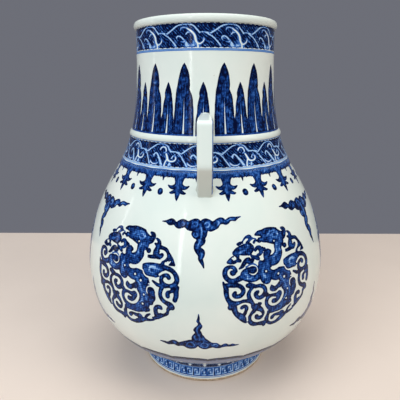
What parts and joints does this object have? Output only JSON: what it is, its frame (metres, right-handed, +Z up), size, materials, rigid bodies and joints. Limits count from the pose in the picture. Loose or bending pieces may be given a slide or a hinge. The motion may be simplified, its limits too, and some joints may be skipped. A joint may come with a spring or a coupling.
{
  "type": "hu vase",
  "caption": "Blue-and-white porcelain hu vase: pear-shaped pot with a wide neck, rolled lip, raised string, foot ring and two angular loop handles.",
  "frame": {"origin": "centre of the foot's resting face", "axes": "+Z up the axis of the vase, -Y towards the front handle"},
  "size_m": [0.319, 0.319, 0.45],
  "materials": {
    "pale_glaze": "clear glossy glaze with a faint blue-green tint over white porcelain",
    "cobalt_painting": "underglaze cobalt brushwork, navy to pale wash, under clear glossy glaze",
    "bare_foot": "unglazed fired porcelain, tan, smooth and matt",
    "slip": "smoothed luting slip, fired"
  },
  "bodies": {
    "root": {"foot_ring": "bare_foot", "lower_body": "pale_glaze", "upper_body": "pale_glaze", "neck": "pale_glaze", "neck_string": "pale_glaze", "mouth_rim": "pale_glaze", "foot_joint_slip": "slip", "belly_joint_slip": "slip", "neck_joint_slip": "slip", "front_handle": "pale_glaze", "front_handle_neck_slip": "pale_glaze", "front_handle_shoulder_slip": "pale_glaze", "back_handle": "pale_glaze", "back_handle_neck_slip": "pale_glaze", "back_handle_shoulder_slip": "pale_glaze"}
  },
  "joints": []
}
